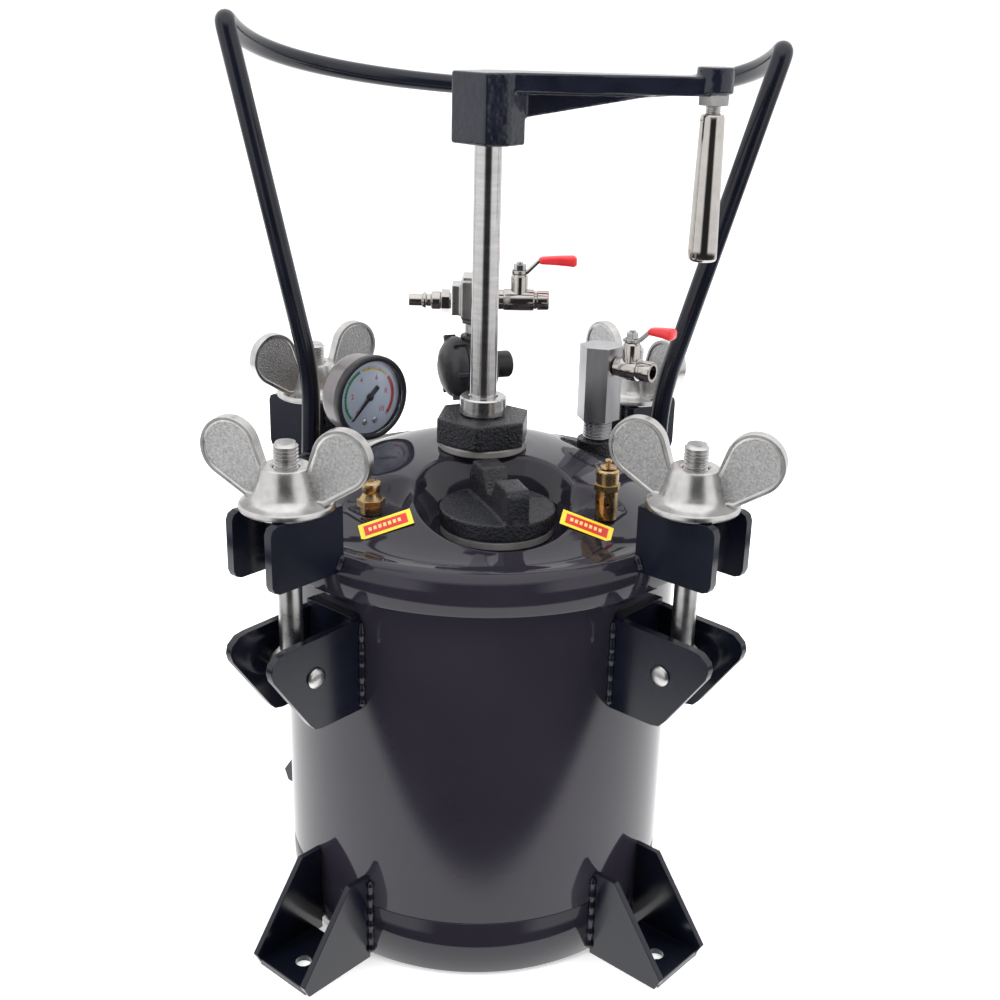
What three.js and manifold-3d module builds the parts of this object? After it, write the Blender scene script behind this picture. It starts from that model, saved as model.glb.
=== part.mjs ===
// A 10 litre resin pressure pot with a hand-cranked stirrer, in millimetres, +Z up.
// The floor is z = 0 and the origin is the middle of the footprint.
import * as THREE from "three";
import { mergeVertices } from "three/addons/utils/BufferGeometryUtils.js";
import Module from "manifold-3d";

const wasm = await Module();
wasm.setup();

// ---- Driving dimensions ----
const GAP = 0.3; // between pieces that touch
const ROUND = 40; // facets of the tank and the lid
const AXIS_Y = -31; // tank axis, so that the footprint is centred on the origin
const AXIS_X = -12.5;
const TANK_R = 124;
const TANK_WALL = 3;
const SKIRT_TOP = 39;
const FLANGE_TOP = 262;
const LID_R = 139.9;
const LID_WALL = 3;
const LID_BOTTOM = 251.4;
const LID_TOP = 304.4;
const LID_TURN = -3.1; // degrees: the lid's fittings stand this much off the clamps' symmetry
const CLAMP_ANGLES = { front_right: -45, rear_right: 45, rear_left: 135, front_left: -135 };
const BOLT_R = 6.9; // M14
const BOLT_AT = 157.2; // radius of the clamp bolts from the tank axis
const PIN_Z = 208.5;
const BOLT_TOP = 342.5;
const BRACKET_TOP = 305;
const SHAFT_R = 8.2;
const SHAFT_TOP = 500;
const CRANK_REACH = 128.5;
const FILL_CAP_AT = [9.5, -69];
const AIR_COCK_AT = [-64, -66];
const SAFETY_AT = [73, -66];
const REGULATOR_AT = [-7, 70];
const OUTLET_AT = [75, 40];
const GAUGE_AT = [-71, 40, 322]; // middle of the gauge's front face
const GAUGE_FACES = -48; // azimuth, degrees
const OUTLET_POINTS = -35; // azimuth, degrees

// ---- Paints and metals ----
const paint = (color, roughness, metalness) => () =>
  new THREE.MeshStandardMaterial({ color, roughness, metalness, flatShading: true });
const bodyPaint = paint(0x23222c, 0.18, 0);
const castPaint = paint(0x15161b, 0.4, 0);
const navyPaint = paint(0x161a2a, 0.22, 0);
const zinc = paint(0xb4b4b8, 0.35, 1);
const steel = paint(0xc4c4c8, 0.22, 1);
const chrome = paint(0xd0d0d4, 0.1, 1);
const brass = paint(0xb98a3e, 0.3, 1);
const rubber = paint(0xa8a49c, 0.6, 0);
const blackPlastic = paint(0x17171a, 0.35, 0);
const dialWhite = paint(0xb9c0cc, 0.5, 0);
const redSleeve = paint(0xc0222e, 0.4, 0);

// ---- Shapes ----
// A profile of [r, z] points, counter-clockwise, turned about Z.
function turned(profile, segments = 16) {
  const points = profile.map(([r, z]) => new THREE.Vector2(r, z));
  return new THREE.LatheGeometry(points, segments).rotateX(Math.PI / 2);
}
const rod = (r, z0, z1, segments = 16) =>
  turned([[0, z0], [r, z0], [r, z1], [0, z1]], segments);
const tube = (inner, outer, z0, z1, segments = 20) =>
  turned([[inner, z0], [outer, z0], [outer, z1], [inner, z1], [inner, z0]], segments);

// An outline of [x, y] points raised from z0 to z1.
function slab(outline, z0, z1) {
  const shape = new THREE.Shape(outline.map(([x, y]) => new THREE.Vector2(x, y)));
  const raised = new THREE.ExtrudeGeometry(shape, { depth: z1 - z0, bevelEnabled: false });
  return raised.translate(0, 0, z0);
}
// An outline of [x, z] points spread from y0 to y1.
const plate = (outline, y0, y1) => slab(outline, -y1, -y0).rotateX(Math.PI / 2);
const box = (x0, x1, y0, y1, z0, z1) =>
  slab([[x0, y0], [x1, y0], [x1, y1], [x0, y1]], z0, z1);
function polygon(cornerRadius, sides, firstDegrees = 0) {
  return Array.from({ length: sides }, (_, k) => {
    const a = THREE.MathUtils.degToRad(firstDegrees + (360 * k) / sides);
    return [cornerRadius * Math.cos(a), cornerRadius * Math.sin(a)];
  });
}
const hexagon = (acrossFlats, z0, z1, firstDegrees = 0) =>
  slab(polygon(acrossFlats / Math.sqrt(3), 6, firstDegrees), z0, z1);

const at = (geometry, x, y, z = 0) => geometry.translate(x, y, z);
const spin = (geometry, degrees) => geometry.rotateZ(THREE.MathUtils.degToRad(degrees));
const alongX = (geometry) => geometry.rotateY(Math.PI / 2);
const alongY = (geometry) => geometry.rotateX(-Math.PI / 2);

function solidOf(geometry) {
  const bare = geometry.clone();
  bare.deleteAttribute("normal");
  bare.deleteAttribute("uv");
  const merged = mergeVertices(bare, 1e-4);
  const mesh = new wasm.Mesh({
    numProp: 3,
    vertProperties: merged.attributes.position.array,
    triVerts: new Uint32Array(merged.index.array),
  });
  return new wasm.Manifold(mesh);
}
function geometryOf(solid) {
  const mesh = solid.getMesh();
  const geometry = new THREE.BufferGeometry();
  const positions = new Float32Array(mesh.vertProperties);
  geometry.setAttribute("position", new THREE.BufferAttribute(positions, 3));
  geometry.setIndex(new THREE.BufferAttribute(new Uint32Array(mesh.triVerts), 1));
  return geometry;
}
const join = (...pieces) => geometryOf(pieces.map(solidOf).reduce((a, b) => a.add(b)));
const cut = (piece, ...tools) =>
  geometryOf(tools.map(solidOf).reduce((a, b) => a.subtract(b), solidOf(piece)));
const common = (a, b) => geometryOf(solidOf(a).intersect(solidOf(b)));

// ---- The assembly: the tank's frame, and the lid's frame turned on it ----
const pot = new THREE.Group();
const tankFrame = new THREE.Group();
tankFrame.position.set(AXIS_X, AXIS_Y, 0);
const lidFrame = new THREE.Group();
lidFrame.rotation.z = THREE.MathUtils.degToRad(LID_TURN);
tankFrame.add(lidFrame);
pot.add(tankFrame);

function add(frame, name, geometry, material) {
  const mesh = new THREE.Mesh(geometry, material());
  mesh.name = name;
  frame.add(mesh);
}

// ---- Tank ----
const tankInner = TANK_R - TANK_WALL;
add(tankFrame, "skirt_ring", turned([
  [tankInner - 0.5, 3],
  [TANK_R - 0.3, 3],
  [TANK_R - 0.3, SKIRT_TOP - 1],
  [TANK_R - 1.3, SKIRT_TOP],
  [tankInner - 0.5, SKIRT_TOP],
  [tankInner - 0.5, 3],
], ROUND), bodyPaint);
add(tankFrame, "tank_shell", turned([
  [0, 44],
  [117, 44],
  [121.5, SKIRT_TOP + GAP],
  [TANK_R - 1, SKIRT_TOP + GAP],
  [TANK_R, SKIRT_TOP + 1.3],
  [TANK_R, FLANGE_TOP - 4],
  [134, FLANGE_TOP - 4],
  [134, FLANGE_TOP],
  [tankInner, FLANGE_TOP],
  [tankInner, 51],
  [114, 47],
  [0, 47],
], ROUND), bodyPaint);

// ---- Lid: a pressed dome with flats where the fittings stand ----
const lidOuter = [
  [0, LID_BOTTOM],
  [LID_R, LID_BOTTOM],
  [LID_R, 267],
  [138.3, 271.5],
  [134, 275],
  [121, 275.6],
  [103, 282.3],
  [90, 288.8],
  [75, 295],
  [54, 301.4],
  [32, LID_TOP],
  [0, LID_TOP],
];
const lidInner = [
  [0, LID_BOTTOM - 1],
  [LID_R - LID_WALL, LID_BOTTOM - 1],
  [LID_R - LID_WALL, 266.5],
  [131.5, 272.4],
  [121, 272.6],
  [102, 279.3],
  [74, 292],
  [45, 299.8],
  [0, LID_TOP - LID_WALL],
];
// Each flat: its place, its floor height and its radius.
const CAP_FLAT_Z = 275;
const COCK_FLAT_Z = 283;
const REAR_FLAT_Z = 291;
const OUTLET_FLAT_Z = 286;
const gaugeAxis = new THREE.Vector2(1, 0).rotateAround(
  new THREE.Vector2(),
  THREE.MathUtils.degToRad(GAUGE_FACES),
);
const GAUGE_DEPTH = 23;
const ELBOW_BEHIND = GAUGE_DEPTH + 9;
const elbowAt = [
  GAUGE_AT[0] - gaugeAxis.x * ELBOW_BEHIND,
  GAUGE_AT[1] - gaugeAxis.y * ELBOW_BEHIND,
];
const GAUGE_FLAT_Z = 279;
const flats = [
  [FILL_CAP_AT, CAP_FLAT_Z, 39],
  [AIR_COCK_AT, COCK_FLAT_Z, 19],
  [SAFETY_AT, COCK_FLAT_Z, 19],
  [REGULATOR_AT, REAR_FLAT_Z, 15],
  [OUTLET_AT, OUTLET_FLAT_Z, 18],
  [elbowAt, GAUGE_FLAT_Z, 11],
];
const pressing = ([x, y], floor, r) =>
  at(turned([[0, floor], [r - 1, floor], [r, floor + 2], [r + 1, 320], [0, 320]], 16), x, y);
const lidSolid = cut(turned(lidOuter, ROUND), ...flats.map((f) => pressing(...f)));
const lidHollow = cut(
  turned(lidInner, ROUND),
  ...flats.map(([place, floor, r]) => pressing(place, floor - LID_WALL, r + LID_WALL)),
);
const FILL_HOLE_R = 25.2;
const SIPHON_R = 8;
add(lidFrame, "lid_shell", cut(
  lidSolid,
  lidHollow,
  rod(SHAFT_R + 0.4, 290, 310),
  at(rod(FILL_HOLE_R, 265, 280), ...FILL_CAP_AT),
  at(rod(SIPHON_R + GAP, 275, 295, 16), ...OUTLET_AT),
), bodyPaint);
add(lidFrame, "lid_gasket", tube(122, 132, FLANGE_TOP + GAP, 271, ROUND), rubber);

// ---- Clamps: clevis, pin, eye bolt, wing nut and lid bracket ----
const tankClear = () => rod(TANK_R + 0.35, -10, 300, ROUND);
const lidClear = () => {
  const grown = lidOuter.map(([r, z]) => [r > 0 ? r + 0.5 : 0, z > 252 ? z + 0.4 : z - 20]);
  return turned(grown, ROUND);
};
const EAR_HALF = 20;
const EAR_THICK = 5;
const clevisOutline = [
  [120, 175],
  [153, 175],
  [158.5, 176.2],
  [162, 180],
  [187, 216],
  [188.3, 221],
  [187, 226],
  [182, 230],
  [176, 231],
  [120, 233],
];
const footOutline = [
  [120, 0],
  [172, 0],
  [176, 8],
  [138, 60],
  [120, 60],
];
const bracketOutline = [
  [134, 266],
  [179.5, 266],
  [183, 267.5],
  [184.5, 271],
  [184.5, 300],
  [183, 303.5],
  [179.5, BRACKET_TOP],
  [134, BRACKET_TOP],
];
// Where each nut's wings happened to stop when it was tightened, degrees from +X.
const WING_TURNS = { front_right: -27, rear_right: -58, rear_left: 38, front_left: -21 };

for (const [side, angle] of Object.entries(CLAMP_ANGLES)) {
  const put = (name, geometry, material) =>
    add(tankFrame, name + "_" + side, spin(geometry, angle), material);

  const gusset = (y0) => plate(footOutline, y0, y0 + 4);
  const footBolt = at(rod(5, -1, 6, 12), 156, 0);
  const foot = join(gusset(20), gusset(-24), box(129, 173, -21, 21, 0, 4));
  put("foot", cut(foot, footBolt, tankClear()), navyPaint);

  const ear = (y0) => plate(clevisOutline, y0, y0 + EAR_THICK);
  const web = box(120, 129.5, -EAR_HALF + 1, EAR_HALF - 1, 175, 236);
  const pinHole = at(alongY(rod(5.5, -30, 30, 12)), BOLT_AT, 0, PIN_Z);
  const clevis = join(ear(EAR_HALF - EAR_THICK), ear(-EAR_HALF), web);
  put("clevis", cut(clevis, pinHole, tankClear()), navyPaint);

  const head = EAR_HALF + GAP;
  const pin = turned([
    [0, -head - 2.4],
    [5, -head - 2],
    [6.3, -head - 1],
    [6.3, -head],
    [5, -head],
    [5, head],
    [6.3, head],
    [6.3, head + 1],
    [5, head + 2],
    [0, head + 2.4],
  ], 12);
  put("clevis_pin", at(alongY(pin), BOLT_AT, 0, PIN_Z), zinc);

  const eye = at(alongY(rod(13, -7, 7, 16)), BOLT_AT, 0, PIN_Z);
  const eyeBore = at(alongY(rod(5.5, -10, 10, 12)), BOLT_AT, 0, PIN_Z);
  const shank = at(turned([
    [0, PIN_Z],
    [BOLT_R, PIN_Z],
    [BOLT_R, BOLT_TOP - 1.5],
    [BOLT_R - 1.5, BOLT_TOP],
    [0, BOLT_TOP],
  ], 16), BOLT_AT, 0);
  put("eye_bolt", cut(join(eye, shank), eyeBore), zinc);

  const arm = (y0) => plate(bracketOutline, y0, y0 + 5.5);
  const backPlate = box(134, 146, -14, 14, 264, 290);
  const bracket = join(arm(13.5), arm(-19), backPlate);
  const lidCut = spin(lidClear(), LID_TURN - angle);
  put("lid_bracket", cut(bracket, lidCut), navyPaint);

  const seat = BRACKET_TOP + GAP;
  const hub = turned([
    [0, seat],
    [26.5, seat],
    [26.5, seat + 3.2],
    [25, seat + 4.2],
    [19.5, seat + 5],
    [16, seat + 15],
    [13.8, seat + 24],
    [0, seat + 24],
  ], 16);
  const lobe = Array.from({ length: 9 }, (_, k) => {
    const a = THREE.MathUtils.degToRad(-58 + (222 * k) / 8);
    return [33 + 16.8 * Math.cos(a), seat + 30.5 + 17.5 * Math.sin(a)];
  });
  const wingOutline = [[10, seat + 4], [24, seat + 4], ...lobe, [13, seat + 24], [10, seat + 23]];
  const wing = () => plate(wingOutline, -3.5, 3.5);
  const nut = cut(join(hub, wing(), spin(wing(), 180)), rod(BOLT_R + 0.5, 290, 360, 16));
  const turnedNut = spin(nut, WING_TURNS[side] - angle);
  put("wing_nut", at(turnedNut, BOLT_AT, 0), zinc);
}

// ---- Carrying handle: one bent tube welded to the lid's rim ----
const BAIL_TUBE_R = 6.8;
const FOOT_HALF = 117;
const FOOT_Y = 67;
const KNEE_Z = 326;
const SHOULDER_HALF = 170.6;
const SHOULDER_Y = 62.6;
const SHOULDER_Z = 548;
const LOOP_BACK = 205;
const LOOP_Z = 508;
const BAIL_LEAN = 1.66;
const BAIL_YAW = -0.75;
const loopPoint = (t) => {
  const reach = Math.sin(t) ** 0.75;
  return new THREE.Vector3(
    -SHOULDER_HALF * Math.cos(t),
    SHOULDER_Y + (LOOP_BACK - SHOULDER_Y) * reach,
    SHOULDER_Z + (LOOP_Z - SHOULDER_Z) * reach,
  );
};
const near = (from, to, distance) =>
  from.clone().add(to.clone().sub(from).setLength(distance));
// Three points that round a corner between the runs that meet there.
function bend(before, corner, after, size) {
  const enter = near(corner, before, size);
  const leave = near(corner, after, size);
  const middle = enter.clone().add(leave).multiplyScalar(0.25).addScaledVector(corner, 0.5);
  return [enter, middle, leave];
}
function bailPath() {
  const loop = [];
  for (let k = 0; k <= 20; k += 1) {
    loop.push(loopPoint(Math.PI * (0.012 + (0.976 * k) / 20)));
  }
  const leg = (side) => {
    const foot = new THREE.Vector3(side * FOOT_HALF, FOOT_Y, 262);
    const knee = new THREE.Vector3(side * FOOT_HALF, FOOT_Y, KNEE_Z);
    const shoulder = new THREE.Vector3(side * SHOULDER_HALF, SHOULDER_Y, SHOULDER_Z);
    const away = side < 0 ? loop[0] : loop[loop.length - 1];
    const straight = [0.3, 0.6, 0.85].map((f) => knee.clone().lerp(shoulder, f));
    return [
      foot,
      near(foot, knee, 25),
      ...bend(foot, knee, shoulder, 16),
      ...straight,
      ...bend(knee, shoulder, away, 8),
    ];
  };
  return [...leg(-1), ...loop, ...leg(1).reverse()];
}
const bailPoints = bailPath();
const bailCurve = new THREE.CatmullRomCurve3(bailPoints, false, "centripetal");
bailCurve.getUtoTmapping = (u) => u; // one step from each point to the next
const bailSection = new THREE.Shape(
  polygon(BAIL_TUBE_R, 8).map(([x, y]) => new THREE.Vector2(x, y)),
);
const bailSweep = { steps: bailPoints.length - 1, extrudePath: bailCurve };
const bail = new THREE.ExtrudeGeometry(bailSection, bailSweep)
  .translate(0, 0, -281)
  .rotateY(THREE.MathUtils.degToRad(BAIL_LEAN))
  .translate(0, 0, 281);
add(lidFrame, "handle_bail", cut(spin(bail, BAIL_YAW), lidClear()), navyPaint);

// ---- Stirrer: washer, gland nut, shaft, crank and paddle ----
const bore = SHAFT_R + 0.4;
add(lidFrame, "shaft_washer", tube(bore, 27.5, LID_TOP + GAP, 309, 28), rubber);
const glandHex = hexagon(53.4, 309.3, 325.8, -97);
const glandChamfer = turned([[0, 300], [40, 300], [40, 310], [28.5, 325.9], [0, 325.9]], 24);
const glandRound = turned([[0, 309], [30, 309], [30, 326], [0, 326]], 24);
add(lidFrame, "gland_nut", cut(
  common(common(glandHex, glandChamfer), glandRound),
  rod(bore, 300, 330),
), castPaint);
add(lidFrame, "shaft_collar", turned([
  [bore, 326.1],
  [14.3, 326.1],
  [14.3, 336.3],
  [13.5, 337.1],
  [bore, 337.1],
  [bore, 326.1],
], 20), steel);
add(lidFrame, "agitator_shaft", rod(SHAFT_R, 60, SHAFT_TOP, 20), steel);
const blade = () => box(6, 68, -1.5, 1.5, -16, 16).rotateX(THREE.MathUtils.degToRad(45));
const paddle = join(
  rod(13, 64, 98, 24),
  at(blade(), 0, 0, 81),
  at(spin(blade(), 180), 0, 0, 81),
);
add(lidFrame, "agitator_paddle", cut(paddle, rod(bore, 50, 110)), steel);

const HUB_R = 21.6;
const hubOutline = [185, 264, 302, 343, 17, 58, 96, 175].map((degrees) => {
  const a = THREE.MathUtils.degToRad(degrees);
  return [HUB_R * Math.cos(a), HUB_R * Math.sin(a)];
});
const ARM_UNDER = 517;
const ARM_TOP = 528.6;
const armOutline = [[0, -17], [20, -16], [118, -8.5], [128, -8], [128, 8], [118, 8.5], [20, 16], [0, 17]];
const ribOutline = [[10, 499], [22, 503], [97, 517.2], [97, 518.5], [10, 518.5]];
const crank = join(
  slab(hubOutline, 487.5, 528),
  slab(armOutline, ARM_UNDER, ARM_TOP),
  plate(ribOutline, -5, 5),
  at(rod(10.8, 518.4, 533.6, 24), CRANK_REACH, 0),
);
add(lidFrame, "crank_arm", cut(
  crank,
  rod(bore, 480, SHAFT_TOP + GAP),
  at(rod(4.8, 510, 530.5, 16), CRANK_REACH, 0),
  at(rod(12, 505, 518.4), CRANK_REACH, 0),
), navyPaint);
const crankNut = join(hexagon(16, 512.3, 518.1, 30), rod(4.5, 440, 530, 16));
add(lidFrame, "crank_nut", at(crankNut, CRANK_REACH, 0), zinc);
add(lidFrame, "crank_grip", at(turned([
  [0, 423],
  [7.6, 423],
  [8.7, 424.6],
  [8.6, 432],
  [7.2, 503],
  [6.9, 506.4],
  [6.2, 507.3],
  [4.8, 507.3],
  [4.8, 438],
  [0, 438],
], 16), CRANK_REACH, 0), chrome);

// ---- Filler cap ----
add(lidFrame, "cap_seal", at(tube(25.5, 33, CAP_FLAT_Z + GAP, 280, 28), ...FILL_CAP_AT), rubber);
const capDisc = turned([
  [0, 264],
  [FILL_HOLE_R - 0.6, 264],
  [FILL_HOLE_R - 0.6, 280.3],
  [33.3, 280.3],
  [34, 281],
  [34, 290],
  [33, 291],
  [0, 291],
], 32);
// The grip bar runs front to back, with a notch in the middle of its top.
const barOutline = [
  [-33.6, 285],
  [30, 285],
  [30, 301],
  [25, 311],
  [9, 311],
  [2, 299],
  [-4, 299],
  [-12, 310.5],
  [-31, 310.5],
  [-33.6, 307],
];
const bar = plate(barOutline, -8, 5.5);
const barFlare = plate(barOutline, -4, 6);
const BAR_TURN = 108;
const FLARE_TURN = 4;
const cap = join(capDisc, spin(bar, BAR_TURN), spin(barFlare, BAR_TURN + FLARE_TURN));
const capRim = rod(34, 260, 320, 32);
add(lidFrame, "fill_cap", at(common(cap, capRim), ...FILL_CAP_AT), castPaint);

// ---- Air cock and safety valve, in brass ----
const cockBody = join(
  rod(6.3, COCK_FLAT_Z + GAP, 288, 20),
  hexagon(14.6, 287, 292.4, 10),
  turned([[0, 292], [7, 292], [5, 296], [0, 296]], 20),
);
add(lidFrame, "air_cock_body", at(cockBody, ...AIR_COCK_AT), brass);
const cockKnob = cut(
  turned([[0, 296.3], [5, 296.3], [6, 297.4], [6, 301.4], [5, 302.6], [0, 302.6]], 20),
  box(-8, 8, -0.7, 0.7, 301, 304),
);
add(lidFrame, "air_cock_knob", at(cockKnob, ...AIR_COCK_AT), brass);

const safetyBody = cut(
  join(
    turned([
      [0, COCK_FLAT_Z + GAP],
      [6.6, COCK_FLAT_Z + GAP],
      [6.6, 301.4],
      [6.4, 304.6],
      [6.4, 312.4],
      [5.4, 313.4],
      [0, 313.4],
    ], 20),
    hexagon(14, 301, 304.6, 15),
  ),
  rod(2.4, 305, 320, 12),
  at(rod(1.7, 0, 12, 12).rotateX(Math.PI / 2), 0, 0, 293.5),
);
add(lidFrame, "safety_valve_body", at(safetyBody, ...SAFETY_AT), brass);
const safetyPull = turned([
  [0, 306],
  [2, 306],
  [2, 313.8],
  [4.8, 313.8],
  [4.8, 315.4],
  [1.4, 316],
  [1.6, 317.4],
  [2.2, 318.6],
  [1.4, 319.7],
  [0, 319.7],
], 16);
add(lidFrame, "safety_valve_pull", at(safetyPull, ...SAFETY_AT), brass);

// ---- Air inlet: regulator, tee, quick plug and ball valve ----
const REGULATOR_Z = 337.5;
const KNOB_POINTS = -160;
// A profile of [r, distance] turned about a level axis that points at an azimuth.
const level = (profile, azimuth, z, segments = 16) =>
  at(spin(alongX(turned(profile, segments)), azimuth), 0, 0, z);
const drum = level([
  [0, -26],
  [7.6, -26],
  [9, -24.6],
  [9, -13],
  [17, -12],
  [18, -11],
  [18, 8],
  [17, 9],
  [0, 9],
], KNOB_POINTS, REGULATOR_Z);
const post = turned([
  [0, REAR_FLAT_Z + GAP],
  [11, REAR_FLAT_Z + GAP],
  [11, 300],
  [9, 302],
  [9, 359],
  [0, 359],
], 24);
add(lidFrame, "regulator_body", at(join(drum, post), ...REGULATOR_AT), blackPlastic);
const knobDome = level([
  [0, 9.3],
  [20.5, 9.3],
  [22.4, 10.5],
  [22.4, 15.5],
  [19, 19.5],
  [12, 22.5],
  [0, 23.5],
], KNOB_POINTS, REGULATOR_Z, 18);
const grooves = Array.from({ length: 6 }, (_, k) => {
  const groove = at(rod(3.6, 5, 30, 8), 24.6, 0);
  return at(spin(alongX(spin(groove, 60 * k)), KNOB_POINTS), 0, 0, REGULATOR_Z);
});
add(lidFrame, "regulator_knob", at(cut(knobDome, ...grooves), ...REGULATOR_AT), blackPlastic);

const TEE_Z = 382.5;
const tee = join(
  box(-9, 15, -11, 11, 371, 395.5),
  box(-8, 14, -10, 10, 367.6, 398.6),
  box(-15, -8, -9, 9, 373, 393),
  rod(6, 359.3, 368, 20),
);
add(lidFrame, "air_tee", at(tee, ...REGULATOR_AT), zinc);
const plugProfile = [
  [0, 15.3],
  [5.4, 15.3],
  [5.4, 22],
  [6, 22.4],
  [6, 28],
  [4, 28.6],
  [4, 31],
  [5.2, 31.6],
  [5.2, 33.6],
  [3.9, 34.4],
  [3.9, 43],
  [0, 43],
];
const plug = join(
  level(plugProfile, 180, TEE_Z - 1.5, 14),
  at(alongX(hexagon(13.4, -21.5, -16.2)), 0, 0, TEE_Z - 1.5),
);
const plugBore = level([[0, 20], [2.4, 20], [2.4, 50], [0, 50]], 180, TEE_Z - 1.5, 12);
add(lidFrame, "quick_plug", at(cut(plug, plugBore), ...REGULATOR_AT), steel);

// Both ball valves are the same: a level body, an upright stem housing and a cranked lever.
const VALVE_R = 7.2;
function valveBody(start, end, stem) {
  const barrel = level([
    [0, start],
    [6.6, start],
    [6.6, start + 3.5],
    [VALVE_R, start + 4.2],
    [VALVE_R, end - 10],
    [6, end - 9],
    [6, end - 8],
    [6.6, end - 7.4],
    [6.6, end - 0.6],
    [6, end],
    [0, end],
  ], 0, 0, 12);
  const housing = at(turned([
    [0, 0],
    [5.6, 0],
    [5.6, 15.5],
    [5, 17],
    [0, 17],
  ], 12), stem, 0);
  const mouth = level([[0, end - 12], [4.4, end - 12], [4.4, end + 2], [0, end + 2]], 0, 0, 8);
  return cut(join(barrel, housing), mouth);
}
// The strip is a flat bar bent twice; the sleeve covers its outer end.
const leverStrip = (reach) => {
  const outline = [
    [-5, 17.4],
    [5.2, 17.4],
    [12.6, 24.9],
    [reach - 3, 24.9],
    [reach - 3, 26.9],
    [12, 26.9],
    [4.6, 19.6],
    [-5, 19.6],
  ];
  return join(
    plate(outline, -3.4, 3.4),
    rod(5, 17.4, 19.6, 20),
    hexagon(7.4, 19.4, 25.2),
  );
};
const leverSleeve = (reach) => cut(
  plate([
    [12.4, 23.6],
    [reach - 1.4, 22.6],
    [reach, 24],
    [reach, 28.6],
    [reach - 1.4, 30],
    [12.4, 28.2],
  ], -4.6, 4.6),
  plate([[10, 24.6], [reach - 2.7, 24.6], [reach - 2.7, 27.2], [10, 27.2]], -3.7, 3.7),
);
const airStem = 29;
const airValve = (geometry) => at(geometry, REGULATOR_AT[0], REGULATOR_AT[1], TEE_Z);
add(lidFrame, "air_valve_body", airValve(valveBody(15.4, 48.5, airStem)), steel);
add(lidFrame, "air_valve_lever", airValve(at(leverStrip(36.7), airStem, 0)), zinc);
add(lidFrame, "air_lever_sleeve", airValve(at(leverSleeve(36.7), airStem, 0)), redSleeve);

// ---- Resin outlet ----
add(lidFrame, "outlet_boss", at(cut(
  rod(13, OUTLET_FLAT_Z + GAP, 299, 20),
  rod(SIPHON_R + GAP, 280, 310, 16),
), ...OUTLET_AT), castPaint);
const outletHex = common(
  hexagon(24.4, 312.5, 361, 45),
  turned([[0, 300], [16, 300], [16, 356], [12.4, 361], [0, 361]], 20),
);
const outletThread = rod(9.4, 299.3, 313, 24);
add(lidFrame, "outlet_body", at(join(outletHex, outletThread), ...OUTLET_AT), steel);
const OUTLET_VALVE_Z = 349;
const OUTLET_STEM = 22;
const outletValve = (geometry) =>
  at(spin(geometry, OUTLET_POINTS), OUTLET_AT[0], OUTLET_AT[1], OUTLET_VALVE_Z);
add(lidFrame, "outlet_valve_body", outletValve(valveBody(14.4, 38, OUTLET_STEM)), steel);
add(lidFrame, "outlet_valve_lever", outletValve(at(leverStrip(29), OUTLET_STEM, 0)), zinc);
add(lidFrame, "outlet_lever_sleeve", outletValve(at(leverSleeve(29), OUTLET_STEM, 0)), redSleeve);
add(lidFrame, "siphon_tube", at(tube(6, SIPHON_R, 56, 298.9, 16), ...OUTLET_AT), steel);

// ---- Pressure gauge ----
const gauge = (geometry) =>
  at(spin(geometry, GAUGE_FACES), ...GAUGE_AT);
const facing = (profile, segments) => gauge(alongX(turned(profile, segments)));
add(lidFrame, "gauge_case", facing([
  [0, -GAUGE_DEPTH],
  [23, -GAUGE_DEPTH],
  [26, -GAUGE_DEPTH + 3],
  [26.4, -6],
  [28, -5],
  [28, -1],
  [27.2, 0],
  [24.6, 0],
  [24.6, -6],
  [0, -6],
], 24), blackPlastic);
add(lidFrame, "gauge_dial", facing([[0, -5.7], [24.2, -5.7], [24.2, -4.7], [0, -4.7]], 24), dialWhite);
// The needle's hub and taper lie in the plane of the dial, tip to the lower left.
const NEEDLE_REST = -136;
const needle = join(
  slab([[-9, -1.3], [0, -1], [20, -0.3], [20, 0.3], [0, 1], [-9, 1.3]], 0, 0.8),
  rod(2.4, 0, 1.2, 16),
);
const needleUp = at(needle, 0, 0, -3.9).rotateZ(THREE.MathUtils.degToRad(NEEDLE_REST));
// Dial plane: its right is the case's +Y side and its up is +Z.
const dialPlane = (geometry) => geometry.rotateX(Math.PI / 2).rotateZ(Math.PI / 2);
add(lidFrame, "gauge_needle", gauge(dialPlane(needleUp)), blackPlastic);
const elbowDown = at(turned([
  [0, GAUGE_FLAT_Z + GAP],
  [8.4, GAUGE_FLAT_Z + GAP],
  [8.4, 288],
  [6.4, 289],
  [6.4, GAUGE_AT[2] + 6],
  [0, GAUGE_AT[2] + 6],
], 20), ...elbowAt);
const elbowReach = level([
  [0, 0],
  [5.6, 0],
  [5.6, ELBOW_BEHIND - GAUGE_DEPTH - GAP],
  [0, ELBOW_BEHIND - GAUGE_DEPTH - GAP],
], GAUGE_FACES, GAUGE_AT[2], 20);
add(lidFrame, "gauge_elbow", join(elbowDown, at(elbowReach, ...elbowAt)), brass);

export default pot;
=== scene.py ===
"""A resin pressure pot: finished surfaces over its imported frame, a pale floor, soft light and a camera.

Shapes are drawn in millimetres, in the tank's or the lid's own frame, and placed in metres.
"""
import math
import random

import bmesh
import bpy
from mathutils import Matrix, Vector


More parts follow.
